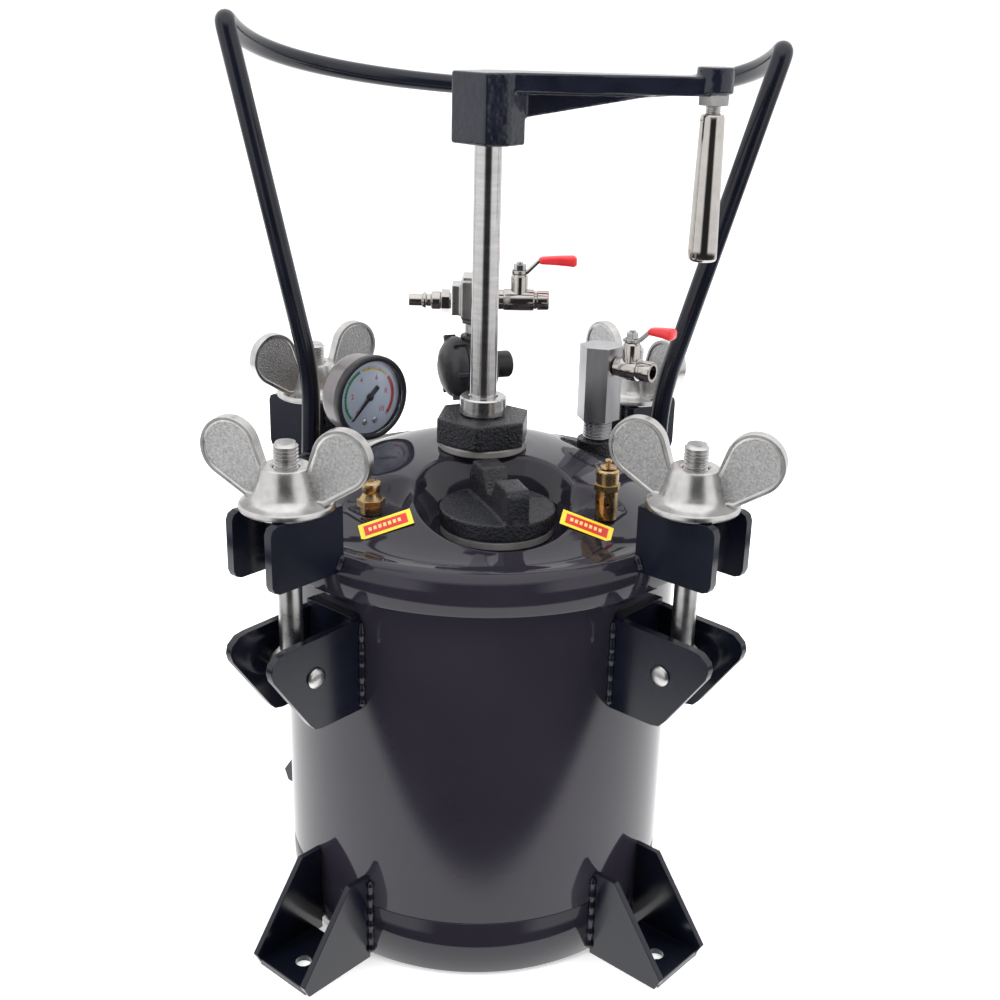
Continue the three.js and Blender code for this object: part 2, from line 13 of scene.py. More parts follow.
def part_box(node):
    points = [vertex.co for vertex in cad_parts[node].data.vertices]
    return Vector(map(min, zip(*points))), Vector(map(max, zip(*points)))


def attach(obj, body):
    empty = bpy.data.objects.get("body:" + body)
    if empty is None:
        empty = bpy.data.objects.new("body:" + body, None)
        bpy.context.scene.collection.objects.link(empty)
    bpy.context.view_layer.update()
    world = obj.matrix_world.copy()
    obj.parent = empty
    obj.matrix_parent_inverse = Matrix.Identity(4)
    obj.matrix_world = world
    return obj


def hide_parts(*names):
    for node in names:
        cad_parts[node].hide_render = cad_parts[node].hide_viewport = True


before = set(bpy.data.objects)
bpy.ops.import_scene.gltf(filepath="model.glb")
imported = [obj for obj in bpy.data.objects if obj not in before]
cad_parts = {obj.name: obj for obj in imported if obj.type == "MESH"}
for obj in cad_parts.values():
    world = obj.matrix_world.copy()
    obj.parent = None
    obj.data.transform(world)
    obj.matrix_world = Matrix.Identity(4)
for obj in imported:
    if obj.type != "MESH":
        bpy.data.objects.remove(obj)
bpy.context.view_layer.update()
random.seed(7)

# ---- Driving dimensions, in millimetres, with angles in degrees ----
TANK_R = 124
LID_R = 139.9
LID_BOTTOM = 251.4
LID_TOP = 304.4
SKIRT_TOP = 39
BRACKET_TOP = 305
BOLT_AT = 157.2
PIN_Z = 208.5
SHAFT_R = 8.2
CRANK_REACH = 128.5
CAP_AT = (9.5, -69)
COCK_AT = (-64, -66)
SAFETY_AT = (73, -66)
REGULATOR_AT = (-7, 70)
OUTLET_AT = (75, 40)
GAUGE_AT = (-71, 40, 322)
GAUGE_FACES = -48
OUTLET_POINTS = -35
CLAMPS = {"front_right": -45, "rear_right": 45, "rear_left": 135, "front_left": -135}
WING_TURNS = {"front_right": -27, "rear_right": -58, "rear_left": 38, "front_left": -21}


def spin(degrees, axis="Z"):
    return Matrix.Rotation(math.radians(degrees), 4, axis)


def move(x, y, z=0):
    return Matrix.Translation((x, y, z))


def middle(node):
    low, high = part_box(node)
    return (low + high) / 2


# The tank's frame stands on its axis; the lid's frame is turned on it to face along the crank.
axis = middle("tank_shell")
axis.z = 0
grip = middle("crank_grip")
lid_turn = math.atan2(grip.y - axis.y, grip.x - axis.x)
TANK = Matrix.Translation(axis) @ Matrix.Scale(0.001, 4)
LID = Matrix.Translation(axis) @ Matrix.Rotation(lid_turn, 4, "Z") @ Matrix.Scale(0.001, 4)
LEVEL = spin(90, "Y")  # turns something made along Z to lie along X


# ---- Materials ----
def shader(name):
    material = bpy.data.materials.new(name)
    material.use_nodes = True
    nodes = material.node_tree.nodes
    return material, nodes, material.node_tree.links, nodes["Principled BSDF"]


def finish(name, dark, light, rough, metallic=0.0, coat=0.0, grain=400.0, bump=0.1,
           depth=0.0002, stretch=(1, 1, 1), patch=30.0, pebbled=False):
    """A surface whose colour drifts between two tints, with varied gloss and a fine relief."""
    material, nodes, links, bsdf = shader(name)
    place = nodes.new("ShaderNodeTexCoord")
    mapping = nodes.new("ShaderNodeMapping")
    mapping.inputs["Scale"].default_value = stretch
    links.new(place.outputs["Object"], mapping.inputs["Vector"])
    drift = nodes.new("ShaderNodeTexNoise")
    drift.inputs["Scale"].default_value = patch
    drift.inputs["Detail"].default_value = 5
    links.new(mapping.outputs["Vector"], drift.inputs["Vector"])
    tint = nodes.new("ShaderNodeValToRGB")
    tint.color_ramp.elements[0].position = 0.3
    tint.color_ramp.elements[1].position = 0.7
    tint.color_ramp.elements[0].color = (*dark, 1)
    tint.color_ramp.elements[1].color = (*light, 1)
    links.new(drift.outputs["Fac"], tint.inputs["Fac"])
    links.new(tint.outputs["Color"], bsdf.inputs["Base Color"])
    gloss = nodes.new("ShaderNodeMapRange")
    gloss.inputs["To Min"].default_value = rough[0]
    gloss.inputs["To Max"].default_value = rough[1]
    relief = nodes.new("ShaderNodeTexVoronoi" if pebbled else "ShaderNodeTexNoise")
    relief.inputs["Scale"].default_value = grain
    if pebbled:
        relief.feature = "SMOOTH_F1"
    else:
        relief.inputs["Detail"].default_value = 4
    links.new(mapping.outputs["Vector"], relief.inputs["Vector"])
    height = relief.outputs["Distance" if pebbled else "Fac"]
    links.new(drift.outputs["Fac"], gloss.inputs["Value"])
    links.new(gloss.outputs["Result"], bsdf.inputs["Roughness"])
    lift = nodes.new("ShaderNodeBump")
    lift.inputs["Strength"].default_value = bump
    lift.inputs["Distance"].default_value = depth
    links.new(height, lift.inputs["Height"])
    links.new(lift.outputs["Normal"], bsdf.inputs["Normal"])
    bsdf.inputs["Metallic"].default_value = metallic
    bsdf.inputs["Coat Weight"].default_value = coat
    bsdf.inputs["Coat Roughness"].default_value = 0.04
    return material


BODY = finish("slate paint", (0.0125, 0.011, 0.0165), (0.018, 0.016, 0.024), (0.04, 0.08),
              grain=260, bump=0.03, patch=9)
NAVY = finish("navy paint", (0.003, 0.0038, 0.008), (0.006, 0.007, 0.014), (0.12, 0.22),
              grain=330, bump=0.08, patch=25)
HAMMERED = finish("hammered paint", (0.004, 0.005, 0.01), (0.009, 0.01, 0.019), (0.12, 0.22),
                  coat=0.2, grain=330, bump=0.55, depth=0.0006, pebbled=True, patch=60)
CAST = finish("rough black casting", (0.004, 0.005, 0.007), (0.012, 0.012, 0.017), (0.2, 0.38),
              coat=0.1, grain=620, bump=1.0, depth=0.0012, patch=120)
ZINC = finish("zinc plate", (0.56, 0.55, 0.545), (0.74, 0.73, 0.72), (0.22, 0.36),
              metallic=1.0, grain=900, bump=0.15, patch=150)
PEBBLED = finish("pebbled zinc", (0.42, 0.42, 0.42), (0.72, 0.71, 0.71), (0.28, 0.46),
                 metallic=0.95, grain=1150, bump=0.9, depth=0.0006, patch=700)
STEEL = finish("turned steel", (0.55, 0.54, 0.54), (0.7, 0.69, 0.69), (0.14, 0.24),
               metallic=1.0, grain=300, bump=0.06, stretch=(1, 1, 5), patch=60)
DULL_STEEL = finish("drawn steel bar", (0.42, 0.42, 0.44), (0.6, 0.6, 0.62), (0.22, 0.38),
                    metallic=1.0, grain=420, bump=0.25, stretch=(1, 1, 0.25), patch=90)
NICKEL = finish("bright nickel", (0.5, 0.47, 0.45), (0.64, 0.61, 0.58), (0.08, 0.16),
                metallic=1.0, grain=300, bump=0.06, patch=80)
BRASS = finish("turned brass", (0.5, 0.34, 0.16), (0.66, 0.48, 0.28), (0.2, 0.36),
               metallic=1.0, grain=900, bump=0.2, stretch=(1, 1, 4), patch=160)
RUBBER = finish("pale seal", (0.13, 0.12, 0.12), (0.2, 0.19, 0.185), (0.28, 0.42),
                grain=800, bump=0.25, patch=90)
BLACK = finish("black moulding", (0.012, 0.012, 0.014), (0.022, 0.022, 0.025), (0.28, 0.44),
               grain=1500, bump=0.25, patch=200)
SHELL = finish("gauge case lacquer", (0.09, 0.08, 0.085), (0.13, 0.12, 0.125), (0.26, 0.36),
               coat=0.4, grain=1100, bump=0.1, patch=90)
RED = finish("red vinyl", (0.5, 0.012, 0.02), (0.62, 0.03, 0.035), (0.25, 0.4),
             coat=0.3, grain=700, bump=0.2, patch=120)
DIAL = finish("dial face", (0.52, 0.57, 0.66), (0.58, 0.63, 0.72), (0.4, 0.5),
              grain=900, bump=0.05, patch=60)
GREEN_INK = finish("green ink", (0.02, 0.25, 0.08), (0.03, 0.3, 0.1), (0.4, 0.5), patch=100)
AMBER_INK = finish("amber ink", (0.6, 0.42, 0.08), (0.65, 0.47, 0.1), (0.4, 0.5), patch=100)
RED_INK = finish("red ink", (0.5, 0.03, 0.03), (0.58, 0.05, 0.05), (0.4, 0.5), patch=100)
BLACK_INK = finish("black ink", (0.015, 0.015, 0.02), (0.02, 0.02, 0.025), (0.4, 0.5), patch=100)
YELLOW_LABEL = finish("yellow label", (0.85, 0.6, 0.03), (0.9, 0.66, 0.05), (0.3, 0.4), patch=90)
RED_LABEL = finish("red label", (0.55, 0.02, 0.015), (0.62, 0.03, 0.02), (0.3, 0.4), patch=90)
PALE_LABEL = finish("pale label ink", (0.8, 0.55, 0.2), (0.85, 0.6, 0.25), (0.3, 0.4), patch=90)


# ---- Shapes: each is (corners, faces) in millimetres ----
def turned(profile, around=96):
    """A profile of (r, z) turned about Z. It ends on the axis, or else it closes on itself."""
    corners, rings = [], []
    for r, z in profile:
        if r < 1e-6:
            rings.append([len(corners)])
            corners.append((0, 0, z))
            continue
        rings.append(list(range(len(corners), len(corners) + around)))
        for k in range(around):
            a = 2 * math.pi * k / around
            corners.append((r * math.cos(a), r * math.sin(a), z))
    pairs = list(zip(rings, rings[1:]))
    if len(rings[0]) > 1:
        pairs.append((rings[-1], rings[0]))
    faces = []
    for low, high in pairs:
        for k in range(around):
            n = (k + 1) % around
            if len(low) > 1 and len(high) > 1:
                faces.append((low[k], low[n], high[n], high[k]))
            elif len(high) > 1:
                faces.append((low[0], high[n], high[k]))
            elif len(low) > 1:
                faces.append((low[k], low[n], high[0]))
    return corners, faces


def rod(r, z0, z1, around=64):
    return turned([(0, z0), (r, z0), (r, z1), (0, z1)], around)


def tube(inner, outer, z0, z1, around=96):
    return turned([(inner, z0), (outer, z0), (outer, z1), (inner, z1)], around)


def slab(outline, z0, z1):
    n = len(outline)
    corners = [(x, y, z0) for x, y in outline] + [(x, y, z1) for x, y in outline]
    sides = [(k, (k + 1) % n, n + (k + 1) % n, n + k) for k in range(n)]
    return corners, [tuple(range(n))[::-1], tuple(range(n, 2 * n))] + sides


def plate(outline, y0, y1):
    """An outline of (x, z) spread from y0 to y1."""
    corners, faces = slab(outline, -y1, -y0)
    return [(x, -z, y) for x, y, z in corners], faces


def polygon(r, sides, first=0.0):
    return [(r * math.cos(math.radians(first + 360 * k / sides)),
             r * math.sin(math.radians(first + 360 * k / sides))) for k in range(sides)]


def hexagon(flats, z0, z1, first=0.0):
    return slab(polygon(flats / math.sqrt(3), 6, first), z0, z1)


def moved(shape, matrix):
    return [tuple(matrix @ Vector(c)) for c in shape[0]], shape[1]


def together(*shapes):
    corners, faces = [], []
    for some, more in shapes:
        faces += [tuple(i + len(corners) for i in face) for face in more]
        corners += some
    return corners, faces


def threads(r, z0, z1, pitch=2.0, cut=0.9):
    """The profile of a thread's crests and roots from z0 up to z1."""
    turns = max(1, round((z1 - z0) / pitch))
    step = (z1 - z0) / turns
    points = []
    for k in range(turns):
        z = z0 + k * step
        points += [(r - cut, z), (r - cut, z + 0.15 * step), (r, z + 0.45 * step), (r, z + 0.7 * step)]
    return points + [(r - cut, z1)]


def piece(name, shape, place, material, body, nodes=(), bevel=0.0, cast=0.0, crease=32):
    """A piece of the pot, placed in metres, that rides on its body and stands for its CAD nodes."""
    mesh = bpy.data.meshes.new(name)
    mesh.from_pydata([tuple(place @ Vector(c)) for c in shape[0]], [], shape[1])
    tidy = bmesh.new()
    tidy.from_mesh(mesh)
    bmesh.ops.recalc_face_normals(tidy, faces=tidy.faces)
    tidy.to_mesh(mesh)
    tidy.free()
    return dress(bpy.data.objects.new(name, mesh), material, body, nodes, bevel, cast, crease)


def dress(thing, material, body, nodes=(), bevel=0.0, cast=0.0, crease=32):
    bpy.context.scene.collection.objects.link(thing)
    if thing.type == "MESH":
        if not thing.data.materials:
            thing.data.materials.append(material)
        thing.data.shade_smooth()
        if cast:
            remesh = thing.modifiers.new("cast", "REMESH")
            remesh.mode = "VOXEL"
            remesh.voxel_size = cast / 1000
            remesh.use_smooth_shade = True
            soften = thing.modifiers.new("soften", "SMOOTH")
            soften.factor = 0.5
            soften.iterations = 4
        else:
            thing.data.set_sharp_from_angle(angle=math.radians(crease))
        if bevel:
            edge = thing.modifiers.new("edges", "BEVEL")
            edge.width = bevel / 1000
            edge.segments = 3
            edge.limit_method = "ANGLE"
            edge.angle_limit = math.radians(crease)
            edge.harden_normals = True
    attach(thing, body)
    if nodes:
        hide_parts(*([nodes] if isinstance(nodes, str) else nodes))
    return thing


def softened(node, material, body, bevel):
    """The node's own solid with its flat faces joined and its edges rounded."""
    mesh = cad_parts[node].data.copy()
    mesh.materials.clear()
    tidy = bmesh.new()
    tidy.from_mesh(mesh)
    bmesh.ops.remove_doubles(tidy, verts=tidy.verts, dist=1e-6)
    bmesh.ops.dissolve_limit(tidy, angle_limit=math.radians(1), verts=tidy.verts, edges=tidy.edges)
    tidy.to_mesh(mesh)
    tidy.free()
    return dress(bpy.data.objects.new(node + "_finish", mesh), material, body, node, bevel)


def bead(name, path, place, width, material=None, body="pot"):
    """A weld bead: overlapping ripples laid along a path of points."""
    path = [Vector(p) for p in path]
    corners, faces, around = [], [], 8
    for k, p in enumerate(path):
        along = (path[min(k + 1, len(path) - 1)] - path[max(k - 1, 0)]).normalized()
        side = along.orthogonal().normalized()
        up = along.cross(side)
        r = width / 2 * (0.95 + 0.12 * math.sin(1.3 * k) + random.uniform(-0.12, 0.12))
        if k in (0, len(path) - 1):
            r *= 0.5
        for n in range(around):
            a = 2 * math.pi * n / around
            corners.append(tuple(p + side * r * math.cos(a) + up * r * math.sin(a)))
    for k in range(len(path) - 1):
        for n in range(around):
            m = (n + 1) % around
            faces.append((k * around + n, k * around + m, (k + 1) * around + m, (k + 1) * around + n))
    faces.append(tuple(range(around))[::-1])
    faces.append(tuple(range(len(corners) - around, len(corners))))
    return piece(name, (corners, faces), place, material or NAVY, body, crease=60)


def line(start, end, count):
    start, end = Vector(start), Vector(end)
    return [start.lerp(end, k / (count - 1)) for k in range(count)]


# ---- Tank, skirt and lid ----
piece("tank_shell_finish", turned([
    (0, 44), (117, 44), (121.5, SKIRT_TOP + 0.3), (TANK_R - 0.5, SKIRT_TOP + 0.3),
    (TANK_R, SKIRT_TOP + 0.8), (TANK_R, 258), (134, 258), (134, 262), (121, 262),
    (121, 51), (114, 47), (0, 47),
], 192), TANK, BODY, "pot", "tank_shell", crease=30)
piece("skirt_finish", turned([
    (120.5, 3), (TANK_R - 0.8, 3), (TANK_R - 0.3, 3.5), (TANK_R - 0.3, SKIRT_TOP - 0.6),
    (TANK_R - 0.9, SKIRT_TOP), (120.5, SKIRT_TOP),
], 192), TANK, BODY, "pot", "skirt_ring", crease=50)

LID_CURVE = [
    (0, LID_TOP), (32, LID_TOP), (45, 303), (54, 301.4), (64, 298.8), (75, 295), (90, 288.8),
    (103, 282.3), (112, 278.3), (121, 275.6), (127, 275), (132, 275.4), (135.4, 274.2),
    (138, 271.8), (139.4, 268.8), (LID_R, 265),
]
FLAT_REACH = 20
FLAT_WALL_SLOPE = 1.9
ELBOW_BEHIND = 32
gauge_facing = Vector((math.cos(math.radians(GAUGE_FACES)), math.sin(math.radians(GAUGE_FACES))))
ELBOW_AT = Vector(GAUGE_AT[:2]) - gauge_facing * ELBOW_BEHIND
FLATS = [
    (CAP_AT, 275, 39), (COCK_AT, 283, 19), (SAFETY_AT, 283, 19),
    (REGULATOR_AT, 291, 15), (OUTLET_AT, 286, 18), (tuple(ELBOW_AT), 279, 11),
]


def curve_height(r):
    for (r0, z0), (r1, z1) in zip(LID_CURVE, LID_CURVE[1:]):
        if r <= r1:
            f = (r - r0) / (r1 - r0)
            return z0 + (z1 - z0) * f
    return LID_CURVE[-1][1]


def lower_of(a, b, blend=2.5):
    h = max(blend - abs(a - b), 0) / blend
    return min(a, b) - h * h * blend / 4


def lid_height(x, y):
    r = math.hypot(x, y)
    z = sum(curve_height(max(0, r + d)) for d in (-3, -1.5, 0, 1.5, 3)) / 5
    if r > 129:
        z = curve_height(r)
    for (cx, cy), floor, size in FLATS:
        away = math.hypot(x - cx, y - cy) - size
        if away < FLAT_REACH:
            z = lower_of(z, floor + FLAT_WALL_SLOPE * math.log1p(math.exp(away)))
    return z


def lid_shape(around=320):
    radii = [0.8 * k for k in range(1, 160)] + [129, 131, 133, 134.5, 136, 137.2, 138.2, 139, 139.6, LID_R]
    rows = [[(0, 0, LID_TOP)]]
    for r in radii:
        ring = []
        for k in range(around):
            a = 2 * math.pi * k / around
            x, y = r * math.cos(a), r * math.sin(a)
            ring.append((x, y, lid_height(x, y)))
        rows.append(ring)
    for r, z in [(LID_R, 253), (139.2, LID_BOTTOM), (137.4, LID_BOTTOM), (136.9, 252),
                 (136.9, 266.5), (131.5, 271), (121, 271.5), (111, 270)]:
        rows.append([(r * math.cos(2 * math.pi * k / around), r * math.sin(2 * math.pi * k / around), z)
                     for k in range(around)])
    rows.append([(0, 0, 270)])
    corners, starts = [], []
    for row in rows:
        starts.append(len(corners))
        corners += row
    faces = []
    for n, (row, after) in enumerate(zip(rows, rows[1:])):
        a, b = starts[n], starts[n + 1]
        for k in range(around):
            m = (k + 1) % around
            if len(row) == 1:
                faces.append((a, b + k, b + m))
            elif len(after) == 1:
                faces.append((a + k, b, a + m))
            else:
                faces.append((a + k, b + k, b + m, a + m))
    return corners, faces


piece("lid_finish", lid_shape(), LID, BODY, "pot", "lid_shell", crease=50)

# ---- Clamps ----
WELD = 5.0
for side, angle in CLAMPS.items():
    turn = TANK @ spin(angle)
    softened("foot_" + side, NAVY, "pot", 1.0)
    softened("clevis_" + side, NAVY, "pot", 1.2)
    softened("lid_bracket_" + side, NAVY, "pot", 1.3)
    for hand in (-1, 1):
        flank = 20.4 * hand
        root = math.sqrt(TANK_R ** 2 - flank ** 2)
        bead(f"clevis_weld_{side}_{'ab'[hand > 0]}",
             line((root + 0.6, flank, 177), (root + 0.6, flank, 231), 30), turn, WELD)
        flank = 24.4 * hand
        root = math.sqrt((TANK_R - 0.3) ** 2 - flank ** 2)
        bead(f"foot_weld_{side}_{'ab'[hand > 0]}",
             line((root + 0.5, flank, 4), (root + 0.5, flank, 57), 28), turn, WELD)
        flank = 19.2 * hand
        root = math.sqrt(LID_R ** 2 - flank ** 2)
        bead(f"bracket_weld_{side}_{'ab'[hand > 0]}",
             line((root + 0.2, flank, 268), (root - 3.5, flank, 276), 10), turn, WELD)

    head = 20.3
    piece("clevis_pin_finish_" + side, turned([
        (0, -head - 2.3), (4, -head - 2.1), (5.6, -head - 1.5), (6.2, -head - 0.8), (6.2, -head),
        (5, -head), (5, head), (6.2, head), (6.2, head + 0.8), (5.6, head + 1.5), (4, head + 2.1),
        (0, head + 2.3),
    ], 48), turn @ move(BOLT_AT, 0, PIN_Z) @ spin(90, "X"), ZINC, "pot", "clevis_pin_" + side)

    eye = moved(turned([
        (5.5, -6.2), (6.2, -7), (11.8, -7), (13, -5.6), (13, 5.6), (11.8, 7), (6.2, 7), (5.5, 6.2),
    ], 48), spin(90, "X"))
    shank = turned([(0, 9), (6.6, 9), (6.8, 12), (6.8, 60)]
                   + threads(6.9, 62, 132.4) + [(5.4, 133.9), (0, 134)], 40)
    piece("eye_bolt_finish_" + side, together(eye, shank), turn @ move(BOLT_AT, 0, PIN_Z),
          ZINC, "eye_bolt_" + side, "eye_bolt_" + side, crease=40)

    seat = BRACKET_TOP + 0.3
    hub = turned([
        (7.4, seat), (25.6, seat), (26.4, seat + 0.8), (26.4, seat + 2.8), (25.6, seat + 3.8),
        (22.5, seat + 4.4), (19.8, seat + 5.6), (18, seat + 9), (16, seat + 15.5),
        (14.4, seat + 22), (13.8, seat + 23.4), (12.8, seat + 23.9), (8.4, seat + 23.9),
        (7.4, seat + 23),
    ], 64)
    lobe = [(33 + 16.7 * math.cos(math.radians(-58 + 7.4 * k)),
             seat + 30.5 + 17.4 * math.sin(math.radians(-58 + 7.4 * k))) for k in range(31)]
    outline = [(10.5, seat + 4.4), (23.6, seat + 4.2)] + lobe + [(13, seat + 23.2), (10.5, seat + 22)]
    place = turn @ move(BOLT_AT, 0) @ spin(WING_TURNS[side] - angle)
    body = "wing_nut_" + side
    piece("wing_nut_hub_" + side, hub, place, ZINC, body, body, crease=40)
    for hand, facing in (("a", 0), ("b", 180)):
        wing = piece(f"wing_{hand}_{side}", plate(outline, -3.5, 3.5), place @ spin(facing), ZINC,
                     body, crease=40)
        wing.data.materials.append(PEBBLED)
        carve = bmesh.new()
        carve.from_mesh(wing.data)
        carve.faces.ensure_lookup_table()
        broad = [f for f in carve.faces if len(f.verts) == len(outline)]
        bmesh.ops.inset_region(carve, faces=broad, thickness=0.0022, depth=0)
        bmesh.ops.inset_region(carve, faces=broad, thickness=0.0006, depth=-0.0008)
        for f in broad:
            f.material_index = 1
        carve.to_mesh(wing.data)
        carve.free()
        wing.data.shade_smooth()
        wing.data.set_sharp_from_angle(angle=math.radians(50))
        edge = wing.modifiers.new("edges", "BEVEL")
        edge.width = 0.0011
        edge.segments = 3
        edge.limit_method = "ANGLE"
        edge.angle_limit = math.radians(50)
        edge.harden_normals = True

# ---- Carrying handle ----
FOOT = Vector((117, 67, 268))
KNEE_Z = 326
SHOULDER = Vector((170.6, 62.6, 548))
LOOP = (205, 508)


def loop_point(t):
    reach = math.sin(t) ** 0.75
    return Vector((-SHOULDER.x * math.cos(t), SHOULDER.y + (LOOP[0] - SHOULDER.y) * reach,
                   SHOULDER.z + (LOOP[1] - SHOULDER.z) * reach))


def bend(before, corner, after, size, count=9):
    enter = corner + (before - corner).normalized() * size
    leave = corner + (after - corner).normalized() * size
    return [enter.lerp(corner, f).lerp(corner.lerp(leave, f), f)
            for f in (k / (count - 1) for k in range(count))]


def handle_leg(hand):
    flip = Vector((hand, 1, 1))
    foot = FOOT * flip
    knee = Vector((foot.x, foot.y, KNEE_Z))
    shoulder = SHOULDER * flip
    away = loop_point(0.04 if hand < 0 else math.pi - 0.04)
    return [foot] + bend(foot, knee, shoulder, 22) + bend(knee, shoulder, away, 9)


loop = [loop_point(0.05 + (math.pi - 0.1) * k / 70) for k in range(71)]
route = handle_leg(-1) + loop + handle_leg(1)[::-1]
lean = move(0, 0, 281) @ spin(1.66, "Y") @ move(0, 0, -281)
curve = bpy.data.curves.new("handle", "CURVE")
curve.dimensions = "3D"
curve.bevel_depth = 0.0063
curve.bevel_resolution = 8
curve.use_fill_caps = True
spline = curve.splines.new("POLY")
spline.points.add(len(route) - 1)
for point, p in zip(spline.points, route):
    point.co = (*(LID @ spin(-0.75) @ lean @ p), 1)
curve.materials.append(NAVY)
dress(bpy.data.objects.new("handle_finish", curve), NAVY, "pot", "handle_bail")
for hand in (-1, 1):
    foot = spin(-0.75) @ lean @ Vector((117 * hand, 67, 275))
    ring = [foot + Vector((8.2 * math.cos(a), 8.2 * math.sin(a), 0.5))
            for a in (2 * math.pi * k / 36 for k in range(37))]
    ring = [Vector((p.x, p.y, curve_height(min(138.5, math.hypot(p.x, p.y))) + 0.6)) for p in ring]
    bead(f"handle_weld_{'ab'[hand > 0]}", ring, LID, 4.5)

# ---- Stirrer, gland and crank ----
piece("washer_finish", turned([
    (8.6, LID_TOP + 0.3), (27, LID_TOP + 0.3), (27.5, LID_TOP + 0.9), (27.5, 308.4), (27, 309), (8.6, 309),
]), LID, RUBBER, "pot", "shaft_washer")
piece("gland_finish", hexagon(53, 309.6, 325.4, -97), LID, CAST, "pot", "gland_nut", cast=0.8)
piece("collar_finish", turned([
    (8.6, 326.1), (13.8, 326.1), (14.3, 326.6), (14.3, 336.2), (13.6, 337.1), (9.2, 337.1), (8.6, 336.5),
]), LID, STEEL, "agitator", "shaft_collar")
piece("shaft_finish", rod(SHAFT_R, 60, 500, 96), LID, STEEL, "agitator", "agitator_shaft")
hub_outline = [(21.6 * math.cos(math.radians(a)), 21.6 * math.sin(math.radians(a)))
               for a in (185, 264, 302, 343, 17, 58, 96, 175)]
crank = together(
    slab(hub_outline, 488, 528),
    slab([(0, -16.5), (20, -15.5), (118, -8.5), (128, -8), (128, 8), (118, 8.5), (20, 15.5), (0, 16.5)],
         517.4, 528.2),
    plate([(10, 499.5), (22, 503.5), (97, 517.4), (97, 519), (10, 519)], -5, 5),
    moved(rod(10.7, 518.6, 533.4), move(CRANK_REACH, 0)),
)
piece("crank_finish", crank, LID, HAMMERED, "agitator", "crank_arm", cast=0.9)
nut = together(hexagon(15.8, 512.3, 518.3, 12), turned(
    [(0, 440), (4.5, 440)] + threads(4.5, 500, 512, 1.25, 0.5) + [(0, 512.4)], 32))
piece("crank_nut_finish", nut, LID @ move(CRANK_REACH, 0), ZINC, "agitator", "crank_nut", bevel=0.5)
piece("grip_finish", turned([
    (0, 423.2), (7.2, 423.2), (8.2, 423.8), (8.7, 425), (8.65, 431), (8.2, 452), (7.55, 484),
    (7.1, 503), (6.9, 506), (6.3, 507.1), (4.8, 507.3), (4.8, 438), (0, 438),
]), LID @ move(CRANK_REACH, 0), NICKEL, "crank_grip", "crank_grip", crease=50)

# ---- Filler cap ----
piece("cap_seal_finish", turned([
    (25.5, 275.3), (32.4, 275.3), (33, 275.9), (33, 279.4), (32.4, 280), (25.5, 280),
]), LID @ move(*CAP_AT), RUBBER, "pot", "cap_seal")
BAR_OUTLINE = [(-33.2, 285), (29.8, 285), (29.8, 301), (25, 311), (9, 311), (2, 299), (-4, 299),
               (-12, 310.5), (-31, 310.5), (-33.2, 307)]
BAR_TURN = 108
FLARE_TURN = 4  # the bar widens toward the back
cap = together(
    turned([(0, 270), (24.4, 270), (24.4, 280.6), (33.8, 280.6), (33.8, 290.7), (0, 290.7)], 128),
    moved(plate(BAR_OUTLINE, -8, 5.5), spin(BAR_TURN)),
    moved(plate(BAR_OUTLINE, -4, 6), spin(BAR_TURN + FLARE_TURN)),
)
piece("cap_finish", cap, LID @ move(*CAP_AT), CAST, "fill_cap", "fill_cap", cast=0.8)

# ---- Air cock and safety valve ----
piece("cock_body_finish", together(
    turned([(0, 283.3), (6.3, 283.3), (6.3, 287.6), (5.9, 288), (0, 288)]),
    hexagon(14.6, 287.8, 292.3, 10),
    turned([(0, 292), (6.6, 292), (6.2, 293), (5, 295.6), (5, 296.2), (0, 296.2)]),
), LID @ move(*COCK_AT), BRASS, "pot", "air_cock_body", bevel=0.35)
piece("cock_knob_finish", turned([
    (0, 296.3), (5, 296.3), (5.4, 296.7), (5.4, 299.4), (6, 299.9), (6, 301.9), (5.4, 302.6),
    (1.8, 302.6), (1.6, 301.6), (0, 301.6),
]), LID @ move(*COCK_AT), BRASS, "air_cock_knob", "air_cock_knob", crease=50)
softened("safety_valve_body", BRASS, "pot", 0.3)
piece("safety_collars", together(
    tube(6.2, 6.6, 288.4, 289.4), tube(6.2, 6.6, 298, 299), tube(6.2, 6.62, 305.6, 311.8, 40),
), LID @ move(*SAFETY_AT), BRASS, "pot")
piece("safety_pull_finish", turned([
    (0, 306), (2, 306), (2, 313.8), (4.2, 313.8), (4.8, 314.3), (4.6, 315.2), (1.3, 316), (1.5, 317),
    (2.2, 318), (2.1, 318.9), (1.3, 319.6), (0, 319.7),
], 48), LID @ move(*SAFETY_AT), BRASS, "safety_valve_pull", "safety_valve_pull", crease=50)


# ---- Labels: a yellow border, a red field and plain pale bars ----
def label(name, x, y, turn):
    """Stuck on the dome, which slopes down and outward under it."""
    outward = math.degrees(math.atan2(y, x))
    away = math.hypot(x, y)
    slope = math.degrees(math.atan2(curve_height(away - 6) - curve_height(away + 6), 12))
    lie = (LID @ move(x, y, curve_height(away) + 0.5) @ spin(outward) @ spin(slope, "Y")
           @ spin(turn - outward))
    layers = [
        (YELLOW_LABEL, [(-15.6, -6.6, 15.6, 6.6)], 0.0),
        (RED_LABEL, [(-12.8, -4.2, 12.8, 4.2)], 0.15),
        (PALE_LABEL, [(-10.2 + 2.9 * k, -1.5, -8.4 + 2.9 * k, 1.5) for k in range(7)], 0.3),
    ]
    for material, boxes, lift in layers:
        shape = together(*[slab([(a, b), (c, b), (c, d), (a, d)], lift, lift + 0.15)
                           for a, b, c, d in boxes])
        piece(f"{name}_{material.name.split()[0]}", shape, lie, material, "pot")


label("left_label", -54, -85.5, 12)
label("right_label", 61, -81, -10)

